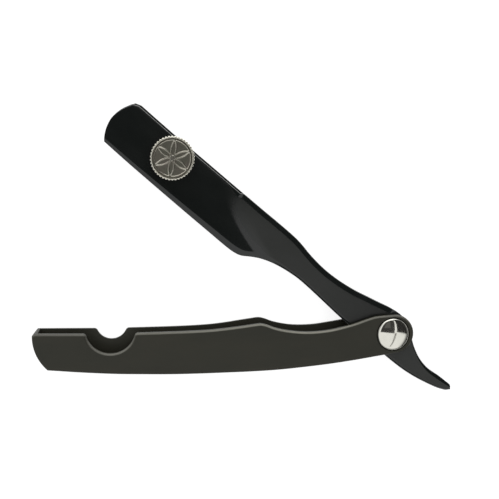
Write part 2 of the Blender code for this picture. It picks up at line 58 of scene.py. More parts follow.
# Driving places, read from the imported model.
JOINTS = {joint["name"]: joint for joint in frame["joints"]}
KNOB_PLACE = Vector(JOINTS["knob_turn"]["pos_m"]) / MM
HOLDER_TURN = math.atan2(KNOB_PLACE.y, KNOB_PLACE.x)
KNOB_X = math.hypot(KNOB_PLACE.x, KNOB_PLACE.y)


def z_span(node):
    low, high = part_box(node)
    return low.z / MM, high.z / MM


DEPTH = z_span("handle")[1]
KNOB_BOTTOM, KNOB_TOP = z_span("thumb_knob")
PLATE_BACK, PLATE_FRONT = z_span("clamp_plate")
STUD_BACK, STUD_FRONT = z_span("clamp_stud")
RING_BACK, RING_FRONT = z_span("stud_retaining_ring")
MEDALLION_BACK = z_span("knob_medallion")[0]
BUSH_BACK, BUSH_TOP = z_span("clamp_bush")
PIN_BACK, PIN_FRONT = z_span("blade_pin_tip")
DOME_TOP = z_span("pivot_rivet")[1]

# Handle.
WALL = 1.75
FLOOR = 1.6
EDGE_ROUND = 0.9
PIVOT_END_CENTRE = (0.7, 0.0)
PIVOT_END_RADIUS = 7.5
FLOOR_END_X = -36.0
END_ARC_CENTRE = (-118.4, 2.1)
END_ARC_RADIUS = 17.0
END_ARC_TOP_ANGLE = 177.5
CLOSED_TOP_LEFT = (-134.4, 3.98)
CLOSED_BOTTOM_LEFT = (-130.1, -10.15)
CHANNEL_END = [(-133.4, 20), (-133.4, 2.0), (-132.4, -3.0), (-131.0, -6.6)]
TOP_BEFORE_NOTCH_Y = 3.55
TOP_AFTER_NOTCH_Y = 3.44
FRONT_DROP = 0.4
BACK_TOP_CURVE = [(-88, 3.5), (-78, 3.65), (-70, 4.0), (-64, 4.6), (-58, 5.43), (-54, 5.95),
                  (-51.2, 6.25), (-48.9, 5.75), (-46.5, 4.8), (-43.5, 3.95), (-39, 3.15),
                  (-34, 2.88), (-29, 3.08), (-24, 3.75), (-19, 4.5), (-14.5, 5.4),
                  (-10.5, 6.35), (-6.5, 7.1)]
FRONT_TOP_CURVE = [(-88, 3.08), (-78, 3.2), (-70, 3.47), (-64, 3.97), (-58, 4.63), (-54, 5.13),
                   (-51.2, 5.38), (-48.9, 4.83), (-46.5, 3.88), (-43.5, 3.02), (-39, 2.2),
                   (-34, 1.75), (-29, 1.85), (-24, 2.4), (-19, 3.45), (-14.5, 4.65),
                   (-10.5, 6.0), (-6.5, 7.05)]
BOTTOM_CURVE = [(-126, -10.6), (-120, -11.2), (-113, -11.8), (-105, -12.37), (-95, -12.8),
                (-85, -13.13), (-75, -13.23), (-65, -13.17), (-55, -13.06), (-45, -12.74),
                (-35, -12.02), (-25, -11.1), (-15, -9.88), (-7, -8.7)]
NOTCH_X = -107.07
FRONT_NOTCH = (4.65, 9.2, 1.2)
BACK_NOTCH = (5.18, 5.8, 1.4)

# Pivot.
RIVET_HEAD_RADIUS = 6.15
RECESS_RADIUS = 6.6
RECESS_DEPTH = 0.9
DOME_RISE = 1.35
BARREL_RADIUS = 2.5
BARREL_BORE_RADIUS = 1.55
BARREL_FLOOR_Z = 1.9
RIVET_SHANK_RADIUS = 1.5
PIVOT_HOLE_RADIUS = 2.6
WASHER_RADIUS = 5.5
GAP = 0.05

# Blade holder and clamp plate.
TIP_ARC_CENTRE = (118.62, 1.65)
TIP_ARC_RADIUS = 14.5
CUTTING_SIDE = [(-33, 4.35), (-29.8, 5.6), (-25.7, 6.6), (-19.4, 7.75), (-13.1, 8.35), (-6, 8.4),
                (4, 8.1), (14, 7.85), (22, 7.4), (30, 6.7), (38, 6.1), (43, 5.95), (49, 6.45),
                (54, 7.38), (58.2, 8.78), (61.8, 10.68), (64.8, 12.48), (67.5, 13.15), (71, 13.3),
                (80, 13.0), (94, 12.48), (110, 11.78), (120, 11.28), (132, 10.5)]
SPINE_SIDE = [(-33.4, 1.45), (-27, 1.5), (-21.3, 1.85), (-16.6, 1.1), (-12.9, -0.35), (-9.2, -2.5),
              (-5.6, -5.55), (-2, -7.35), (2.2, -7.85), (7, -7.3), (11.2, -6.35), (16, -5.35),
              (22, -4.12), (29, -3.3), (35, -3.12), (40, -3.47), (45, -4.2), (49, -5.05),
              (53, -5.6), (60, -5.9), (70, -6.1), (82, -6.45), (98, -6.93), (112, -7.3),
              (126, -7.95), (133, -8.35)]
TIP_CORNER_ROUND = 0.5
TAIL_END_X = -32.5
TAIL_END_ROUND = 1.45
TAIL_TAPER = 0.7
TAIL_TAPER_START = -8.0
TAIL_TAPER_LENGTH = 26.0
TANG_BACK, TANG_FRONT = 2.35, 7.15
LEAF_BACK, LEAF_FRONT = 4.75, 6.35
PLATE_HEEL_X = 78.3
HEEL_GAP = 0.3
LEAF_SPINE_INSET = 0.75
PLATE_CUT_INSET = 0.3
PLATE_TIP_INSET = 0.25
RAMP_START_X = 85.0
RAMP_LENGTH = 16.5
RAMP_SLANT = 0.9
RAMP_BOW = 0.19
TAIL_LIMIT_X = 5.0
TAIL_BEVEL_SPAN = (-28.0, -12.0)
TAIL_SPINE_BEVEL = (0.7, 0.2)
TAIL_END_BEVEL = (1.5, 0.45)
NECK_CUT_SPAN = (46.0, 64.0)
HEAD_SPINE_SPAN = (78.3, 85.0)
HEAD_CUT_SPAN = (66.0, 130.0)
BACK_STEP_SPAN = (50.0, 70.0)
LEAF_STEP_LENGTH = 1.5
NECK_SPINE_BEVEL = (2.1, 0.84)
HEAD_SPINE_BEVEL = (0.85, 0.3)
NECK_CUT_BEVEL = (0.8, 0.66)
HEAD_CUT_BEVEL = (2.1, 0.9)
TIP_CUT_BEVEL = (0.95, 0.4)
BACK_BEVEL = (1.0, 0.6)
PLATE_SPINE_BEVEL = (0.85, 0.55)
PLATE_CUT_BEVEL = (1.8, 0.75)
BEVEL_SHARE = 0.3

# Clamp and knob.
KNOB_TEETH = 42
TOOTH_DEPTH = 0.4
KNOB_RADIUS = 8.05
KNOB_CHAMFER = 0.5
KNOB_RIM_ROUND = 0.55
MEDALLION_RADIUS = 7.2
MEDALLION_BED = 9.9
MEDALLION_FIELD, MEDALLION_BAND = 10.4, 10.68
PETAL_RADIUS = 6.6
BOSS_RADIUS = 0.95
LINE_HALF_WIDTH = 0.14
STUD_RADIUS = 2.0
STUD_HEAD_RADIUS = 3.2
STUD_HEAD_BACK = 9.0
STUD_HOLE_RADIUS = 2.1
THREAD_PITCH = 0.7
THREAD_DEPTH = 0.22
BUSH_RADIUS = 4.6
BUSH_SPIGOT_RADIUS = 3.0
RING_GROOVE_RADIUS = 1.55
RING_RADIUS = 3.0
RING_HALF_GAP = 32
RING_POCKET_RADIUS = 3.3
RING_POCKET_TOP = 5.5
BLADE_PIN_RADIUS = 1.1
BLADE_PIN_REACH = 14.5
BLADE_PIN_Y = 1.4

HOLDER_FRAME = Matrix.Rotation(HOLDER_TURN, 4, 'Z')
KNOB_FRAME = HOLDER_FRAME @ Matrix.Translation((KNOB_X * MM, 0, 0))
ROW_FRAME = Matrix.Identity(4)


# ---- Meshes ----

def solid(name, points, faces, place=ROW_FRAME, crease=32):
    """A closed mesh from points in millimetres, smooth except at edges sharper than crease."""
    mesh = bpy.data.meshes.new(name)
    mesh.from_pydata([(x * MM, y * MM, z * MM) for x, y, z in points], [], faces)
    made = bpy.data.objects.new(name, mesh)
    made.matrix_world = place
    bpy.context.scene.collection.objects.link(made)
    shape = bmesh.new()
    shape.from_mesh(mesh)
    bmesh.ops.recalc_face_normals(shape, faces=shape.faces)
    if shape.calc_volume(signed=True) < 0:
        bmesh.ops.reverse_faces(shape, faces=shape.faces)
    shape.to_mesh(mesh)
    shape.free()
    smooth(made, crease)
    return made


def smooth(piece, crease=32):
    piece.data.shade_smooth()
    piece.data.set_sharp_from_angle(angle=math.radians(crease))
    if "weighted" not in piece.modifiers:
        weighted = piece.modifiers.new("weighted", 'WEIGHTED_NORMAL')
        weighted.keep_sharp = True


def loft(name, rings, place=ROW_FRAME, hollow=False, crease=32):
    """A solid through rings of equally many points; a hollow one's last ring joins its first."""
    count = len(rings[0])
    points = [point for ring in rings for point in ring]
    faces = [] if hollow else [list(range(count))[::-1]]
    for low in range(len(rings) if hollow else len(rings) - 1):
        here, there = low * count, (low + 1) % len(rings) * count
        for i in range(count):
            j = (i + 1) % count
            faces.append([here + i, here + j, there + j, there + i])
    if not hollow:
        faces.append([(len(rings) - 1) * count + i for i in range(count)])
    return solid(name, points, faces, place, crease)


def circle(radius, z, count):
    return [(radius * math.cos(a), radius * math.sin(a), z)
            for a in (2 * math.pi * i / count for i in range(count))]


def turned(name, profile, place=ROW_FRAME, segments=128, crease=32):
    """A solid of revolution; a profile that ends on the axis is closed by a small disc there."""
    tiny = 0.02
    hollow = profile[0][0] > 0
    rings = [circle(max(radius, tiny), z, segments) for radius, z in profile]
    return loft(name, rings, place, hollow, crease)


def softened(profile, radius, steps=3):
    """The (r, z) profile with its corners rounded, except those on the axis."""
    hollow = profile[0][0] > 0
    out = []
    for i, corner in enumerate(profile):
        if not hollow and i in (0, len(profile) - 1):
            out.append(corner)
            continue
        out += rounded_corner(profile[i - 1], corner, profile[(i + 1) % len(profile)], radius, steps)
    return out


def rounded_corner(before, corner, after, radius, steps=3):
    """Points on a curve that cuts the corner, starting at most radius away from it."""
    ends = []
    for side in (before, after):
        length = math.dist(side, corner)
        share = min(radius, 0.45 * length) / length if length else 0.0
        ends.append([c + (s - c) * share for s, c in zip(side, corner)])
    first, last = ends
    shares = [i / steps for i in range(steps + 1)]
    return [tuple(a * (1 - t) ** 2 + 2 * c * t * (1 - t) + b * t * t
                  for a, c, b in zip(first, corner, last)) for t in shares]


def take_away(target, tools):
    """Cuts the tools out of the target and deletes them."""
    target.modifiers.clear()
    for tool in tools:
        step = target.modifiers.new(tool.name, 'BOOLEAN')
        step.operation = 'DIFFERENCE'
        step.solver = 'EXACT'
        step.object = tool
    bpy.context.view_layer.update()
    graph = bpy.context.evaluated_depsgraph_get()
    target.data = bpy.data.meshes.new_from_object(target.evaluated_get(graph))
    target.modifiers.clear()
    for tool in tools:
        bpy.data.objects.remove(tool, do_unlink=True)


def bore(name, steps, place=ROW_FRAME, centre=(0, 0), segments=96):
    """A cutter for a stepped hole; steps holds (radius, low z, high z) from the bottom up."""
    profile = [(0, steps[0][1])]
    for radius, low, high in steps:
        profile += [(radius, low), (radius, high)]
    profile.append((0, steps[-1][2]))
    shift = Matrix.Translation((centre[0] * MM, centre[1] * MM, 0))
    return turned(name, profile, place @ shift, segments)


def soften_edges(piece, width, sharper_than=50):
    """A small two-step bevel on every edge that turns by more than the given angle."""
    shape = bmesh.new()
    shape.from_mesh(piece.data)
    bmesh.ops.remove_doubles(shape, verts=shape.verts, dist=0.0005 * MM)
    limit = math.radians(sharper_than)
    edges = [e for e in shape.edges if e.is_manifold and e.calc_face_angle(0) > limit]
    bmesh.ops.bevel(shape, geom=edges, offset=width * MM, segments=2, profile=0.5,
                    affect='EDGES', clamp_overlap=True)
    shape.to_mesh(piece.data)
    shape.free()
    smooth(piece)


# ---- Outlines ----

def curve_at(points, x):
    """The height at x of a smooth curve through points that are in order of x."""
    k = 0
    while k < len(points) - 2 and x > points[k + 1][0]:
        k += 1
    (x0, y0), (x1, y1) = points[k], points[k + 1]
    chord = (y1 - y0) / (x1 - x0)
    before = points[k - 1] if k > 0 else None
    after = points[k + 2] if k < len(points) - 2 else None
    start = (y1 - before[1]) / (x1 - before[0]) if before else chord
    end = (after[1] - y0) / (after[0] - x0) if after else chord
    t = (x - x0) / (x1 - x0)
    span = x1 - x0
    return (y0 * (1 + 2 * t) * (1 - t) ** 2 + start * span * t * (1 - t) ** 2
            + y1 * t * t * (3 - 2 * t) + end * span * t * t * (t - 1))


def smoothstep(t):
    t = min(1.0, max(0.0, t))
    return t * t * (3 - 2 * t)


def blend(x, start, end, first, last):
    """first before start, last after end, and a smooth change between them."""
    return first + (last - first) * smoothstep((x - start) / (end - start))


def arc(centre, radius, start, end, count):
    """Points on a circle from one angle to another, both ends included."""
    angles = [math.radians(start + (end - start) * i / (count - 1)) for i in range(count)]
    return [(centre[0] + radius * math.cos(a), centre[1] + radius * math.sin(a)) for a in angles]


def along(points, count):
    """Evenly spaced points on the smooth curve through the given points, both ends included."""
    low, high = points[0][0], points[-1][0]
    xs = [low + (high - low) * i / count for i in range(count + 1)]
    return [(x, curve_at(points, x)) for x in xs]


def inset(loop, distance):
    """The anticlockwise loop moved inwards by the distance, its corners kept as corners."""
    moved = []
    for i, (x, y) in enumerate(loop):
        ax, ay = loop[i - 1]
        bx, by = loop[(i + 1) % len(loop)]
        first = math.atan2(y - ay, x - ax)
        second = math.atan2(by - y, bx - x)
        turn = (second - first + math.pi) % (2 * math.pi) - math.pi
        normal = first + turn / 2 + math.pi / 2
        reach = distance / math.cos(turn / 2)
        moved.append((x + reach * math.cos(normal), y + reach * math.sin(normal)))
    return moved


# ---- Handle ----

def notch(shape, drop):
    """The notch's edge from right to left: fillet, round seat, fillet."""
    centre_y, radius, fillet = shape
    cx, cy = NOTCH_X, centre_y
    right_y, left_y = TOP_AFTER_NOTCH_Y - drop - fillet, TOP_BEFORE_NOTCH_Y - drop - fillet
    reach = radius + fillet
    right_x = cx + math.sqrt(reach ** 2 - (right_y - cy) ** 2)
    left_x = cx - math.sqrt(reach ** 2 - (left_y - cy) ** 2)
    right_end = math.degrees(math.atan2(cy - right_y, cx - right_x))
    left_start = math.degrees(math.atan2(cy - left_y, cx - left_x))
    return (arc((right_x, right_y), fillet, 90, right_end, 12)
            + arc((cx, cy), radius, right_end - 180, left_start - 180, 60)[1:-1]
            + arc((left_x, left_y), fillet, left_start, 90, 12))


def wall_outline(notch_shape, top_curve, drop):
    """A wall seen from the front, anticlockwise from its closed end's upper corner.

    drop is how much lower than the back wall's its top edge lies.
    """
    (corner_x, corner_y), (centre_x, centre_y) = CLOSED_BOTTOM_LEFT, END_ARC_CENTRE
    end_low = math.degrees(math.atan2(corner_y - centre_y, corner_x - centre_x))
    closed_end = arc(END_ARC_CENTRE, END_ARC_RADIUS, END_ARC_TOP_ANGLE, end_low + 360, 24)
    bottom = along([closed_end[-1]] + BOTTOM_CURVE, 100)[1:]
    pivot_end = arc(PIVOT_END_CENTRE, PIVOT_END_RADIUS, -82, 90, 48)
    notch_edge = notch(notch_shape, drop)
    top = along([notch_edge[0]] + top_curve + [pivot_end[-1]], 170)[1:-1]
    corner = (CLOSED_TOP_LEFT[0], CLOSED_TOP_LEFT[1] - drop)
    return closed_end + bottom + pivot_end + top[::-1] + notch_edge + [corner]


def rounded_rings(loop, z_face, z_side, steps=6):
    """Rings from a flat face at z_face to the full outline at z_side along a quarter round."""
    rings = []
    for i in range(steps + 1):
        angle = math.pi / 2 * i / steps
        inwards = EDGE_ROUND * (1 - math.sin(angle))
        z = z_face + (z_side - z_face) * (1 - math.cos(angle))
        rings.append([(x, y, z) for x, y in inset(loop, inwards)])
    return rings


def channel_space():
    """The space between the walls: open above, and below too from the floor's end to the pivot."""
    floor = [(x, y + FLOOR) for x, y in along([CLOSED_BOTTOM_LEFT] + BOTTOM_CURVE, 100)]
    floor = [(x, y) for x, y in floor if x < FLOOR_END_X]
    beyond = 30
    right = [(FLOOR_END_X, floor[-1][1]), (FLOOR_END_X, -beyond), (beyond, -beyond), (beyond, 20)]
    rings = [[(x, y, z) for x, y in CHANNEL_END + floor + right] for z in (WALL, DEPTH - WALL)]
    return loft("channel_space", rings)


def handle_body():
    """The channel, its outer edges rounded and its inner ones just broken."""
    back = wall_outline(BACK_NOTCH, BACK_TOP_CURVE, 0.0)
    front = wall_outline(FRONT_NOTCH, FRONT_TOP_CURVE, FRONT_DROP)
    rings = rounded_rings(back, 0, EDGE_ROUND)
    rings.append([(x, y, WALL + 0.2) for x, y in back])
    rings.append([(x, y, DEPTH - WALL - 0.2) for x, y in front])
    rings += rounded_rings(front, DEPTH, DEPTH - EDGE_ROUND)[::-1]
    body = loft("handle_body", rings)
    front_recess = DEPTH - RECESS_DEPTH
    hole = bore("pivot_hole", [(RECESS_RADIUS, -1, RECESS_DEPTH),
                               (PIVOT_HOLE_RADIUS, RECESS_DEPTH, front_recess),
                               (RECESS_RADIUS, front_recess, DEPTH + 1)])
    take_away(body, [channel_space(), hole])
    soften_edges(body, 0.12)
    return body


# ---- Pivot ----

def rivet_dome():
    """Front half of the rivet: polished dome, its rim just above the recess, and shank."""
    under = DEPTH - RECESS_DEPTH + GAP
    rim = DOME_TOP - DOME_RISE
    tip = BARREL_FLOOR_Z + 2 * GAP
    steps = 24
    turns = [math.pi / 2 * i / steps for i in range(steps)]
    dome = [(RIVET_HEAD_RADIUS * math.cos(turn), rim + DOME_RISE * math.sin(turn))
            for turn in turns]
    profile = [(0, tip), (RIVET_SHANK_RADIUS, tip), (RIVET_SHANK_RADIUS, under),
               (RIVET_HEAD_RADIUS, under)] + dome + [(0, DOME_TOP)]
    return turned("rivet_dome", profile)


def rivet_barrel():
    """Back half of the rivet: flat flush head with a broken edge, and the barrel."""
    top = DEPTH - RECESS_DEPTH - GAP
    shoulder = RECESS_DEPTH - GAP
    profile = [(0, 0), (RIVET_HEAD_RADIUS - 0.3, 0), (RIVET_HEAD_RADIUS, 0.3),
               (RIVET_HEAD_RADIUS, shoulder), (BARREL_RADIUS, shoulder), (BARREL_RADIUS, top),
               (BARREL_BORE_RADIUS, top), (BARREL_BORE_RADIUS, BARREL_FLOOR_Z),
               (0, BARREL_FLOOR_Z)]
    return turned("rivet_barrel", softened(profile, 0.1))


def washer(side):
    low, high = z_span("pivot_washer_" + side)
    profile = [(PIVOT_HOLE_RADIUS, low), (WASHER_RADIUS, low), (WASHER_RADIUS, high),
               (PIVOT_HOLE_RADIUS, high)]
    return turned("washer_" + side, softened(profile, 0.1))


# ---- Blade holder ----

def holder_edges(x):
    """The holder's spine-side and cutting-side Y at x, with the tip's arc and the tail's end."""
    low, high = curve_at(SPINE_SIDE, x), curve_at(CUTTING_SIDE, x)
    if x < TAIL_END_X:
        middle = (curve_at(SPINE_SIDE, TAIL_END_X) + curve_at(CUTTING_SIDE, TAIL_END_X)) / 2
        share = math.sqrt(max(0.0, 1 - ((TAIL_END_X - x) / TAIL_END_ROUND) ** 2))
        return middle + (low - middle) * share, middle + (high - middle) * share
    if x > TIP_ARC_CENTRE[0]:
        half = math.sqrt(max(0.0, TIP_ARC_RADIUS ** 2 - (x - TIP_ARC_CENTRE[0]) ** 2))
        high = min(high, TIP_ARC_CENTRE[1] + half)
        gap = TIP_ARC_CENTRE[1] - half - low
        low = low + (gap + math.hypot(gap, TIP_CORNER_ROUND)) / 2
    return low, high


def tail_taper(x):
    """How much thinner the tail's front and back faces are at x."""
    return TAIL_TAPER * smoothstep((TAIL_TAPER_START - x) / TAIL_TAPER_LENGTH)


def holder_front(x, y):
    """Height of the holder's front face, which ramps down from the neck to the thin leaf."""
    ramp_start = RAMP_START_X - RAMP_SLANT * (y + 1) - RAMP_BOW * (y + 1) ** 2
    rise = smoothstep((ramp_start - x) / RAMP_LENGTH)
    return LEAF_FRONT + (TANG_FRONT - LEAF_FRONT) * rise - tail_taper(x)


def front_bevels(x):
    """Width and depth of the front bevel at x, on the spine and on the cutting side."""
    spine = [blend(x, *HEAD_SPINE_SPAN, neck, head)
             for neck, head in zip(NECK_SPINE_BEVEL, HEAD_SPINE_BEVEL)]
    heel_x, tip_x = HEAD_CUT_SPAN
    share = min(1.0, max(0.0, (x - heel_x) / (tip_x - heel_x)))
    head_cut = [heel + (tip - heel) * share for heel, tip in zip(HEAD_CUT_BEVEL, TIP_CUT_BEVEL)]
    cutting = [blend(x, *NECK_CUT_SPAN, neck, head)
               for neck, head in zip(NECK_CUT_BEVEL, head_cut)]
    if x < TAIL_LIMIT_X:
        spine = [blend(x, *TAIL_BEVEL_SPAN, end, near)
                 for end, near in zip(TAIL_END_BEVEL, TAIL_SPINE_BEVEL)]
    return spine, cutting


def clipped_bevel(x, cutting, width, drop):
    """The cutting-side bevel where the tip's arc cuts into it, as (width, drop)."""
    left = width - (curve_at(CUTTING_SIDE, x) - cutting) if x > TIP_ARC_CENTRE[0] else width
    left = max(left, 0.04)
    return left, drop * left / width


def rounded_section(corners):
    """The closed (y, z) section whose corners are (y, z, radius)."""
    out = []
    for i, (y, z, radius) in enumerate(corners):
        if radius:
            before, after = corners[i - 1][:2], corners[(i + 1) % len(corners)][:2]
            out += rounded_corner(before, (y, z), after, radius)
        else:
            out.append((y, z))
    return out


def holder_section(x):
    """The cross-section at x: front face, spine, back face, cutting side."""
    spine, cutting = holder_edges(x)
    spine += blend(x, PLATE_HEEL_X, PLATE_HEEL_X + LEAF_STEP_LENGTH, 0.0, LEAF_SPINE_INSET)
    (spine_bevel, spine_drop), (cut_bevel, cut_drop) = front_bevels(x)
    cut_bevel, cut_drop = clipped_bevel(x, cutting, cut_bevel, cut_drop)
    widest = (cutting - spine) * BEVEL_SHARE
    inner = cutting - min(cut_bevel, widest)
    outer = spine + min(spine_bevel, widest)
    count = 12
    front = [(y, holder_front(x, y), 0)
             for y in (inner + (outer - inner) * i / count for i in range(1, count))]
    on_leaf = x > PLATE_HEEL_X - HEEL_GAP
    neck_back = blend(x, *BACK_STEP_SPAN, TANG_BACK, PLATE_BACK) + tail_taper(x)
    back = LEAF_BACK if on_leaf else neck_back
    back_bevel, back_rise = (0.0, 0.0) if on_leaf else BACK_BEVEL
    back_bevel = min(back_bevel + 0.05, widest)
    back_edge = back + back_rise + 0.05
    cut_top, spine_top = holder_front(x, inner), holder_front(x, outer)
    return rounded_section(
        [(cutting, cut_top - cut_drop, 0.16), (inner, cut_top, 0.35)] + front
        + [(outer, spine_top, 0.35), (spine, spine_top - spine_drop, 0.3),
           (spine, back_edge, 0.14), (spine + back_bevel, back, 0.14),
           (cutting - back_bevel, back, 0.14), (cutting, back_edge, 0.14)])


def tip_stations(arc_x):
    """Places along the tip's arc, evenly spaced on it."""
    angles = [38.6 - 1.6 * i for i in range(23)]
    return [arc_x + TIP_ARC_RADIUS * math.cos(math.radians(angle)) for angle in angles]


def evenly(start, end, step):
    count = round((end - start) / step)
    return [start + (end - start) * i / count for i in range(count)]


def holder_stations():
    """Places along the holder where its section is drawn."""
    tail = [TAIL_END_X - TAIL_END_ROUND * math.sin(math.radians(88 - 8 * i)) for i in range(11)]
    heel = PLATE_HEEL_X - HEEL_GAP
    return (tail + evenly(TAIL_END_X, heel, 0.7) + [heel] + evenly(heel + 0.02, 86, 0.5)
            + evenly(86, 129.4, 1.4) + tip_stations(TIP_ARC_CENTRE[0]))


def blade_pin_places():
    return [("tip", KNOB_X + BLADE_PIN_REACH), ("heel", KNOB_X - BLADE_PIN_REACH)]


def holder_body():
    """Tail, tang, neck and front leaf in one piece, with its holes."""
    rings = [[(x, y, z) for y, z in holder_section(x)] for x in holder_stations()]
    body = loft("holder_body", rings, HOLDER_FRAME, crease=28)
    tools = [bore("holder_pivot_hole", [(PIVOT_HOLE_RADIUS, -1, DEPTH + 1)], HOLDER_FRAME),
             bore("leaf_stud_hole", [(RING_POCKET_RADIUS, 4, RING_POCKET_TOP),
                                     (STUD_HOLE_RADIUS, RING_POCKET_TOP, 8)], KNOB_FRAME)]
    for side, x in blade_pin_places():
        steps = [(BLADE_PIN_RADIUS + GAP, 4, PIN_FRONT + GAP)]
        tools.append(bore("leaf_hole_" + side, steps, HOLDER_FRAME, (x, BLADE_PIN_Y), 48))
    take_away(body, tools)
    smooth(body, 28)
    return body


def plate_section(x):
    """The clamp plate's cross-section at x: flat in front, its back edges bevelled."""
    spine, cutting = holder_edges(x + PLATE_TIP_INSET if x > 125 else x)
    cutting -= PLATE_CUT_INSET
    widest = (cutting - spine) * BEVEL_SHARE
    cut_bevel, cut_rise = PLATE_CUT_BEVEL
    spine_bevel, spine_rise = PLATE_SPINE_BEVEL
    return rounded_section(
        [(cutting, PLATE_FRONT, 0.12), (spine, PLATE_FRONT, 0.3),
         (spine, PLATE_BACK + spine_rise, 0.2),
         (spine + min(spine_bevel, widest), PLATE_BACK, 0.2),
         (cutting - min(cut_bevel, widest), PLATE_BACK, 0.2),
         (cutting, PLATE_BACK + cut_rise, 0.16)])


def plate_body():
    """The rear leaf, which presses the blade against the front one."""
    stations = evenly(PLATE_HEEL_X, 129, 1.4) + tip_stations(TIP_ARC_CENTRE[0] - PLATE_TIP_INSET)
    rings = [[(x, y, z) for y, z in plate_section(x)] for x in stations]
    body = loft("plate_body", rings, HOLDER_FRAME, crease=28)
    tools = [bore("plate_bush_hole", [(BUSH_SPIGOT_RADIUS + GAP, 2, 6)], KNOB_FRAME)]
    for side, x in blade_pin_places():
        steps = [(BLADE_PIN_RADIUS + 2 * GAP, 2, 6)]
        tools.append(bore("plate_hole_" + side, steps, HOLDER_FRAME, (x, BLADE_PIN_Y), 48))
    take_away(body, tools)
    soften_edges(body, 0.08, 70)
    return body


# ---- Clamp and knob ----

def threaded(radius, low, high, segments, per_pitch=8):
    """Rings from low to high along a screw thread, fading out at both ends."""
    rings = []
    count = round((high - low) / THREAD_PITCH * per_pitch)
    for k in range(count + 1):
        z = low + (high - low) * k / count
        fade = smoothstep(min(z - low, high - z) / THREAD_PITCH)
        ring = []
        for i in range(segments):
            turn = i / segments
            phase = (z / THREAD_PITCH - turn) % 1.0
            groove = 1 - abs(2 * phase - 1)
            r = radius - THREAD_DEPTH * fade * groove
            ring.append((r * math.cos(2 * math.pi * turn), r * math.sin(2 * math.pi * turn), z))
        rings.append(ring)
    return rings


def stud():
    """The stud: a thread behind, a groove for the ring, a plain neck and a flat head."""
    count = 96
    tip_chamfer = 0.4
    neck = RING_FRONT + GAP
    head_low = STUD_HEAD_BACK + GAP
    rings = [circle(0.02, STUD_BACK, count), circle(STUD_RADIUS - tip_chamfer, STUD_BACK, count)]
    rings += threaded(STUD_RADIUS, STUD_BACK + tip_chamfer, RING_BACK - GAP, count)
    rings += [circle(radius, z, count) for radius, z in
              [(RING_GROOVE_RADIUS, RING_BACK - GAP), (RING_GROOVE_RADIUS, neck),
               (STUD_RADIUS, neck), (STUD_RADIUS, head_low), (STUD_HEAD_RADIUS, head_low),
               (STUD_HEAD_RADIUS, STUD_FRONT), (0.02, STUD_FRONT)]]
    return loft("stud", rings, KNOB_FRAME)


def stud_ring():
    """The open retaining ring in the stud's groove."""
    inner = RING_GROOVE_RADIUS + GAP
    outer_arc = arc((0, 0), RING_RADIUS, RING_HALF_GAP, 360 - RING_HALF_GAP, 72)
    inner_arc = arc((0, 0), inner, 360 - RING_HALF_GAP, RING_HALF_GAP, 72)
    rings = [[(x, y, z) for x, y in outer_arc + inner_arc] for z in (RING_BACK, RING_FRONT)]
    piece = loft("stud_ring", rings, KNOB_FRAME)
    soften_edges(piece, 0.06)
    return piece


def bush():
    """The round boss behind the clamp plate, with a chamfered mouth."""
    hole = STUD_RADIUS + GAP
    shoulder = PLATE_BACK - GAP
    profile = [(hole + 0.45, BUSH_BACK), (BUSH_RADIUS - 0.4, BUSH_BACK),
               (BUSH_RADIUS, BUSH_BACK + 0.4), (BUSH_RADIUS, shoulder),
               (BUSH_SPIGOT_RADIUS, shoulder), (BUSH_SPIGOT_RADIUS, BUSH_TOP), (hole, BUSH_TOP),
               (hole, BUSH_BACK + 0.45)]
    return turned("bush", softened(profile, 0.12), KNOB_FRAME)


def blade_pin(side, x):
    """A dowel with a rounded end that stands out behind the leaf."""
    profile = [(0, PIN_BACK), (BLADE_PIN_RADIUS - 0.25, PIN_BACK),
               (BLADE_PIN_RADIUS, PIN_BACK + 0.25), (BLADE_PIN_RADIUS, PIN_FRONT), (0, PIN_FRONT)]
    shift = Matrix.Translation((x * MM, BLADE_PIN_Y * MM, 0))
    return turned("pin_" + side, softened(profile, 0.12), HOLDER_FRAME @ shift, 64)


def toothed(radius, z, depth):
    """A ring with rounded teeth; depth is how far the gaps between them cut in."""
    count = KNOB_TEETH * 12
    ring = []
    for i in range(count):
        turn = 2 * math.pi * i / count
        gap = (1 - abs(math.cos(turn * KNOB_TEETH / 2))) * depth
        ring.append(((radius - gap) * math.cos(turn), (radius - gap) * math.sin(turn), z))
    return ring


def knob_body():
    """The knurled knob: a toothed wall, a rounded rim, a bed for the medallion and the bores."""
    rings = [toothed(KNOB_RADIUS - KNOB_CHAMFER * (1 - i / 4), KNOB_BOTTOM + KNOB_CHAMFER * i / 4,
                     TOOTH_DEPTH * (0.4 + 0.6 * i / 4)) for i in range(5)]
    steps = 7
    for i in range(steps + 1):
        angle = math.pi / 2 * i / steps
        rings.append(toothed(KNOB_RADIUS - KNOB_RIM_ROUND * (1 - math.cos(angle)),
                             KNOB_TOP - KNOB_RIM_ROUND * (1 - math.sin(angle)),
                             TOOTH_DEPTH * math.cos(angle * 0.85)))
    bed_radius = MEDALLION_RADIUS + GAP
    head, thread = STUD_HEAD_RADIUS + GAP, STUD_RADIUS + GAP
    inside = [(bed_radius + 0.14, KNOB_TOP), (bed_radius + 0.04, KNOB_TOP - 0.04),
              (bed_radius, KNOB_TOP - 0.14), (bed_radius, MEDALLION_BED), (head, MEDALLION_BED),
              (head, STUD_HEAD_BACK), (thread, STUD_HEAD_BACK), (thread, KNOB_BOTTOM)]
    rings += [toothed(radius, z, 0) for radius, z in inside]
    return loft("knob_body", rings, KNOB_FRAME, hollow=True, crease=40)


def line_height(distance, half_width, slope):
    """1 on a raised line, 0 away from it, with a smooth flank."""
    return 1 - smoothstep((distance - half_width) / slope)


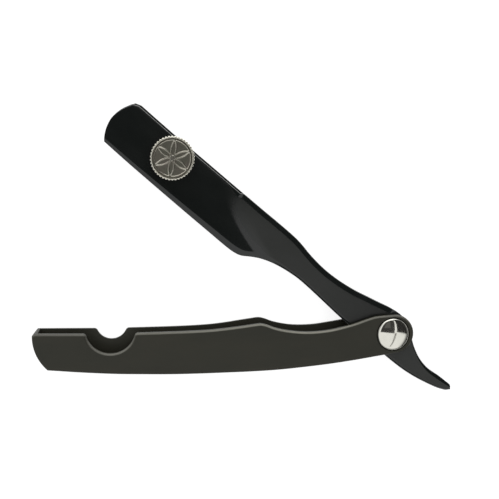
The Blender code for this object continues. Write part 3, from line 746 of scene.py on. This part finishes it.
def rosette(x, y):
    """Relief from 0 to 1 at a point of the medallion: six compass petals, a ring and a boss."""
    r = math.hypot(x, y)
    lines = [line_height(r, BOSS_RADIUS, 0.3),
             line_height(abs(r - PETAL_RADIUS), LINE_HALF_WIDTH, 0.2)]
    if r < PETAL_RADIUS:
        for k in range(6):
            angle = math.pi / 3 * k
            cx, cy = PETAL_RADIUS * math.cos(angle), PETAL_RADIUS * math.sin(angle)
            away = abs(math.hypot(x - cx, y - cy) - PETAL_RADIUS)
            lines.append(line_height(away, LINE_HALF_WIDTH, 0.2))
    return max(lines)


def medallion():
    """The disc in the knob's face: a relief over a plain underside."""
    turns, rows = 360, 84
    edge = 0.12
    rings = [circle(0.02, MEDALLION_BACK, turns), circle(MEDALLION_RADIUS, MEDALLION_BACK, turns),
             circle(MEDALLION_RADIUS, MEDALLION_FIELD - edge, turns)]
    for k in range(rows):
        radius = (MEDALLION_RADIUS - 0.03) * (1 - k / rows)
        ring = circle(radius, 0, turns)
        rise = MEDALLION_BAND - MEDALLION_FIELD
        rings.append([(x, y, MEDALLION_FIELD + rise * rosette(x, y)) for x, y, _ in ring])
    return loft("medallion", rings, KNOB_FRAME, crease=50)


# ---- Materials ----

def node(tree, kind, inputs=None, **settings):
    """Adds a node; an input's value is a number, a vector or another node's output."""
    made = tree.nodes.new("ShaderNode" + kind)
    for key, value in settings.items():
        setattr(made, key, value)
    for key, value in (inputs or {}).items():
        if isinstance(value, bpy.types.NodeSocket):
            tree.links.new(value, made.inputs[key])
        else:
            made.inputs[key].default_value = value
    return made


def surface(name, fixed):
    """A new node material; fixed holds the shader sockets that are the same all over."""
    made = bpy.data.materials.new(name)
    made.use_nodes = True
    shader = made.node_tree.nodes["Principled BSDF"]
    for key, value in fixed.items():
        shader.inputs[key].default_value = value
    return made, made.node_tree, shader


def grain(tree, stretch, scale, detail=4.0, rough=0.6):
    """Noise in the piece's own frame, in cycles per millimetre once scaled by its stretch."""
    place = node(tree, "TexCoord").outputs["Object"]
    size = [value / MM for value in stretch]
    moved = node(tree, "Mapping", {"Vector": place, "Scale": size}).outputs["Vector"]
    made = node(tree, "TexNoise", {"Vector": moved, "Scale": scale, "Detail": detail,
                                   "Roughness": rough})
    return made.outputs["Fac"]


def remap(tree, value, low, high, start, end):
    """The value's span from low to high spread over start to end, and held beyond it."""
    return node(tree, "MapRange", {"Value": value, "From Min": low, "From Max": high,
                                   "To Min": start, "To Max": end}).outputs["Result"]


def mixed(tree, share, first, second):
    """A colour between two colours."""
    made = node(tree, "Mix", {0: share}, data_type='RGBA')
    for index, colour in ((6, first), (7, second)):
        if isinstance(colour, bpy.types.NodeSocket):
            tree.links.new(colour, made.inputs[index])
        else:
            made.inputs[index].default_value = (*colour, 1.0)
    return made.outputs[2]


def combine(tree, operation, *values):
    return node(tree, "Math", dict(enumerate(values)), operation=operation).outputs[0]


def facing(tree):
    """How far the surface faces along the piece's own X, Y and Z, each from -1 to 1."""
    normal = node(tree, "TexCoord").outputs["Normal"]
    return node(tree, "SeparateXYZ", {"Vector": normal}).outputs


def own_place(tree):
    """The point's own X, Y and Z in the piece, in metres."""
    place = node(tree, "TexCoord").outputs["Object"]
    return node(tree, "SeparateXYZ", {"Vector": place}).outputs


def link(tree, source, shader, socket):
    tree.links.new(source, shader.inputs[socket])


def bump(tree, shader, height, distance, strength=1.0):
    made = node(tree, "Bump", {"Height": height, "Distance": distance * MM, "Strength": strength})
    link(tree, made.outputs["Normal"], shader, "Normal")


def anodised():
    """Dark olive anodised aluminium, finely blasted, with a painted highlight on the rims along the
    channel's mouth.
    """
    made, tree, shader = surface("olive_anodised", {"Metallic": 0.0, "Specular IOR Level": 0.25})
    cloud = grain(tree, (0.03, 0.09, 0.09), 1.0, 3.0)
    speckle = grain(tree, (1, 1, 1), 4.0, 3.0)
    body = mixed(tree, remap(tree, cloud, 0.35, 0.65, 0, 1), (0.0244, 0.0248, 0.0174),
                 (0.0298, 0.0286, 0.0198))
    body = mixed(tree, remap(tree, speckle, 0.3, 0.7, 0, 0.4), body, (0.032, 0.031, 0.023))
    turned_to = facing(tree)
    # Painted highlight: the rims that face up and towards the back are coloured lighter, brighter
    # towards the pivot end and dimmer again right at the pivot.
    mouth = combine(tree, 'MULTIPLY', remap(tree, turned_to["Y"], 0.12, 0.5, 0, 1),
                    remap(tree, turned_to["Z"], 0.1, 0.4, 0, 1))
    along_x = own_place(tree)["X"]
    rim_highlight = mixed(tree, remap(tree, along_x, -0.13, -0.03, 0, 1), (0.095, 0.093, 0.08),
                   (0.26, 0.255, 0.215))
    rim_highlight = mixed(tree, remap(tree, along_x, -0.025, 0.0, 0, 0.8), rim_highlight,
                   (0.07, 0.068, 0.06))
    rim_highlight = mixed(tree, remap(tree, cloud, 0.3, 0.7, 0, 0.3), rim_highlight, (0.09, 0.088, 0.075))
    link(tree, mixed(tree, mouth, body, rim_highlight), shader, "Base Color")
    link(tree, remap(tree, speckle, 0.3, 0.7, 0.42, 0.52), shader, "Roughness")
    bump(tree, shader, speckle, 0.004, 0.35)
    return made


def black_steel():
    """Black coated steel: glossy on the leaves and bevels, satin on the neck's and tail's faces,
    with a painted highlight along the spine's edge and painted shade on the neck by the pivot.
    """
    made, tree, shader = surface("black_coated_steel", {"Metallic": 0.0, "IOR": 1.5})
    place = own_place(tree)
    turned_to = facing(tree)
    flat = remap(tree, turned_to["Z"], 0.968, 0.982, 0, 1)
    neck = remap(tree, place["Z"], 0.00635, 0.00712, 0, 1)
    tail = remap(tree, place["X"], 0.0, 0.004, 1, 0)
    satin = combine(tree, 'MULTIPLY', flat, combine(tree, 'MAXIMUM', neck, tail))
    cloud = grain(tree, (0.05, 0.1, 0.1), 1.0, 2.0)
    blasted = grain(tree, (1, 1, 1), 3.0, 2.0)
    gloss_tone = mixed(tree, remap(tree, cloud, 0.35, 0.65, 0, 1), (0.0060, 0.0075, 0.0070),
                       (0.0085, 0.0100, 0.0095))
    satin_tone = mixed(tree, remap(tree, cloud, 0.35, 0.65, 0, 1), (0.0140, 0.0160, 0.0135),
                       (0.0170, 0.0185, 0.0165))
    # Painted highlight: a light grey on the steep spine-side edges, fuller on the head than on the
    # neck.
    spine_highlight_share = combine(tree, 'ADD', remap(tree, place["X"], 0.076, 0.081, 0, 0.4),
                   remap(tree, place["X"], 0.004, 0.012, 0, 0.6))
    edge = combine(tree, 'MULTIPLY', remap(tree, turned_to["Y"], -0.45, -0.78, 0, 1),
                   remap(tree, turned_to["Z"], 0.12, 0.35, 0, 1))
    # Painted shade: the neck's satin face is darkened near the pivot, where the handle's front wall
    # overhangs it.
    tang = combine(tree, 'MULTIPLY', remap(tree, place["X"], 0.010, 0.028, 0.75, 0),
                   remap(tree, place["X"], -0.004, 0.002, 0, 1))
    satin_tone = mixed(tree, tang, satin_tone, (0.005, 0.006, 0.005))
    tone = mixed(tree, satin, gloss_tone, satin_tone)
    link(tree, mixed(tree, combine(tree, 'MULTIPLY', edge, spine_highlight_share), tone, (0.26, 0.26, 0.25)),
         shader, "Base Color")
    fine = remap(tree, blasted, 0.35, 0.65, -0.01, 0.02)
    rough = remap(tree, satin, 0, 0.5, 0.09, 0.42)
    link(tree, combine(tree, 'ADD', rough, fine), shader, "Roughness")
    bump(tree, shader, cloud, 0.01, 0.15)
    return made


def polished_steel():
    """Bright polished steel with hairline scratches."""
    made, tree, shader = surface("bright_steel", {"Metallic": 1.0})
    hairlines = grain(tree, (0.3, 6, 6), 1.2, 2.0)
    smudge = grain(tree, (0.25, 0.25, 0.25), 1.0, 3.0)
    link(tree, mixed(tree, remap(tree, smudge, 0.35, 0.65, 0, 1), (0.74, 0.73, 0.665),
                     (0.69, 0.685, 0.62)), shader, "Base Color")
    shine = combine(tree, 'ADD', remap(tree, smudge, 0.35, 0.65, 0.05, 0.09),
                    remap(tree, hairlines, 0.45, 0.7, 0, 0.05))
    link(tree, shine, shader, "Roughness")
    return made


def nickel():
    """Warm nickel plating with a clear shine."""
    made, tree, shader = surface("warm_nickel", {"Metallic": 1.0})
    smudge = grain(tree, (0.5, 0.5, 0.5), 1.0, 4.0)
    link(tree, mixed(tree, remap(tree, smudge, 0.35, 0.65, 0, 1), (0.82, 0.80, 0.70),
                     (0.74, 0.71, 0.60)), shader, "Base Color")
    link(tree, remap(tree, smudge, 0.3, 0.7, 0.09, 0.17), shader, "Roughness")
    return made


def medallion_nickel():
    """Relief lines polished bright over a field of fine horizontal brushing."""
    made, tree, shader = surface("medallion_nickel", {"Metallic": 1.0})
    place = node(tree, "TexCoord").outputs["Object"]
    z = node(tree, "SeparateXYZ", {"Vector": place}).outputs["Z"]
    raised = remap(tree, z, (MEDALLION_FIELD + 0.06) * MM, (MEDALLION_BAND - 0.03) * MM, 0, 1)
    brushed = grain(tree, (5, 0.25, 5), 1.5, 3.0)
    cloud = grain(tree, (0.2, 0.2, 0.2), 1.0, 2.0)
    field = mixed(tree, remap(tree, cloud, 0.35, 0.65, 0, 1), (0.22, 0.20, 0.17),
                  (0.17, 0.18, 0.14))
    field = mixed(tree, remap(tree, brushed, 0.35, 0.65, 0, 0.5), field, (0.30, 0.27, 0.23))
    link(tree, mixed(tree, raised, field, (0.72, 0.69, 0.60)), shader, "Base Color")
    link(tree, remap(tree, raised, 0, 1, 0.38, 0.2), shader, "Roughness")
    bump(tree, shader, brushed, 0.006, 0.4)
    return made


def washer_brass():
    """Dull brass with turning marks."""
    made, tree, shader = surface("dull_brass", {"Metallic": 1.0})
    cloud = grain(tree, (0.6, 0.6, 0.6), 1.0, 4.0)
    link(tree, mixed(tree, remap(tree, cloud, 0.3, 0.7, 0, 1), (0.52, 0.38, 0.20),
                     (0.38, 0.26, 0.13)), shader, "Base Color")
    link(tree, remap(tree, cloud, 0.3, 0.7, 0.32, 0.5), shader, "Roughness")
    return made


# ---- Putting the pieces on their bodies ----

def dress(piece, finish, body, cad_node):
    piece.data.materials.clear()
    piece.data.materials.append(finish)
    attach(piece, body)
    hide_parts(cad_node)


def build_razor():
    olive, black, bright = anodised(), black_steel(), polished_steel()
    warm, relief, brass = nickel(), medallion_nickel(), washer_brass()
    dress(handle_body(), olive, "handle", "handle")
    dress(rivet_dome(), bright, "handle", "pivot_rivet")
    dress(rivet_barrel(), bright, "handle", "pivot_barrel")
    for side in ("back", "front"):
        dress(washer(side), brass, "handle", "pivot_washer_" + side)
    dress(holder_body(), black, "holder", "blade_holder")
    for side, x in blade_pin_places():
        dress(blade_pin(side, x), bright, "holder", "blade_pin_" + side)
    dress(plate_body(), black, "clamp", "clamp_plate")
    dress(bush(), warm, "clamp", "clamp_bush")
    dress(stud(), bright, "knob", "clamp_stud")
    dress(stud_ring(), bright, "knob", "stud_retaining_ring")
    dress(knob_body(), warm, "knob", "thumb_knob")
    dress(medallion(), relief, "knob", "knob_medallion")


# ---- Studio, in metres ----

CAMERA_PLACE = Vector((-0.08686, 0.06753, 0.2835))
CAMERA_AIM = Vector((-0.05557, 0.03364, 0.0095))
CAMERA_LENS = 54.12
FLOOR_Z = -0.0005
FLOOR_CORNERS = [(-4, -4), (4, -4), (4, 4), (-4, 4)]
WALL_TOP = 4
CARD_HEIGHT = 0.9
BACK_LIGHT = 2.0
FRONT_LIGHT = 0.2
SIDE_LIGHT = 0.2


def camera():
    data = bpy.data.cameras.new("camera")
    data.lens = CAMERA_LENS
    data.clip_start = 0.01
    made = bpy.data.objects.new("camera", data)
    back = (CAMERA_PLACE - CAMERA_AIM).normalized()
    right = Vector((0, 1, 0)).cross(back).normalized()
    up = back.cross(right)
    turn = Matrix((right, up, back)).transposed().to_4x4()
    made.matrix_world = Matrix.Translation(CAMERA_PLACE) @ turn
    bpy.context.scene.collection.objects.link(made)
    bpy.context.scene.camera = made


def staged_plane(name, corners, finish):
    mesh = bpy.data.meshes.new(name)
    mesh.from_pydata(corners, [], [(0, 1, 2, 3)])
    mesh.materials.append(finish)
    made = bpy.data.objects.new(name, mesh)
    bpy.context.scene.collection.objects.link(made)
    return made


def matt(name, base, tint, glow):
    """A surface without gloss that glows."""
    return surface(name, {"Base Color": base, "Roughness": 0.9, "Specular IOR Level": 0.0,
                          "Emission Color": tint, "Emission Strength": glow})[0]


def floor():
    """A pale floor that glows a little, so that it stays white close to the razor."""
    finish = matt("floor", (0.4, 0.4, 0.4, 1), (1, 1, 1, 1), 0.82)
    staged_plane("floor", [(x, y, FLOOR_Z) for x, y in FLOOR_CORNERS], finish)


def walls():
    """Pale walls round the floor, which only the camera sees."""
    finish = matt("wall", (0, 0, 0, 1), (1, 1, 1, 1), 1.0)
    for i, (x, y) in enumerate(FLOOR_CORNERS):
        next_x, next_y = FLOOR_CORNERS[(i + 1) % 4]
        made = staged_plane("wall_%d" % i, [(x, y, FLOOR_Z), (next_x, next_y, FLOOR_Z),
                                            (next_x, next_y, WALL_TOP), (x, y, WALL_TOP)], finish)
        made.visible_diffuse = False
        made.visible_glossy = False
        made.visible_shadow = False


def card(name, corners, level, height=CARD_HEIGHT):
    """A matt card overhead that only shows as a reflection."""
    finish = matt(name, (0, 0, 0, 1), (1, 0.98, 0.94, 1), level)
    made = staged_plane(name, [(x, y, height) for x, y in corners], finish)
    made.visible_camera = False
    made.visible_diffuse = False
    made.visible_shadow = False


def zone(tree, toward, low, light):
    """The tent's level: light where both masks are 1, and 1 elsewhere."""
    return remap(tree, combine(tree, 'MULTIPLY', toward, low), 0, 1, 1, light)


def studio():
    """A white tent: bright low down behind, dim low down in front, and an opening overhead."""
    world = bpy.data.worlds.new("tent")
    world.use_nodes = True
    tree = world.node_tree
    way = node(tree, "TexCoord").outputs["Generated"]
    side = node(tree, "SeparateXYZ", {"Vector": way}).outputs
    across = combine(tree, 'ABSOLUTE', side["X"])
    behind = zone(tree, combine(tree, 'MULTIPLY', remap(tree, side["Y"], 0.0, 0.35, 0, 1),
                                remap(tree, side["X"], 0.35, 0.6, 1, 0)),
                  remap(tree, side["Z"], 0.65, 0.45, 0, 1), BACK_LIGHT)
    ahead = zone(tree, remap(tree, side["Y"], 0.0, -0.35, 0, 1),
                 remap(tree, side["Z"], 0.5, 0.3, 0, 1), FRONT_LIGHT)
    beside = zone(tree, remap(tree, across, 0.45, 0.7, 0, 1),
                  remap(tree, side["Z"], 0.72, 0.55, 0, 1), SIDE_LIGHT)
    level = combine(tree, 'MULTIPLY', behind, combine(tree, 'MULTIPLY', ahead, beside))
    background = tree.nodes["Background"]
    background.inputs["Color"].default_value = (1, 1, 1, 1)
    tree.links.new(level, background.inputs["Strength"])
    bpy.context.scene.world = world
    card("opening_left", [(-0.40, -0.06), (0.29, -0.17), (0.32, 0.72), (-0.30, 0.72)], 0.05)
    card("window", [(-0.10, 0.06), (0.16, 0.0), (0.10, 0.42), (-0.10, 0.42)], 0.12, 0.88)
    card("opening_right", [(0.365, -0.14), (1.6, -0.4), (1.8, 1.6), (0.37, 1.3)], 0.03)
    card("stand", [(0.16, -0.9), (0.20, -0.9), (0.36, -0.17), (0.31, -0.17)], 0.25)
    bpy.context.scene.view_settings.view_transform = 'Standard'


build_razor()
floor()
walls()
studio()
camera()
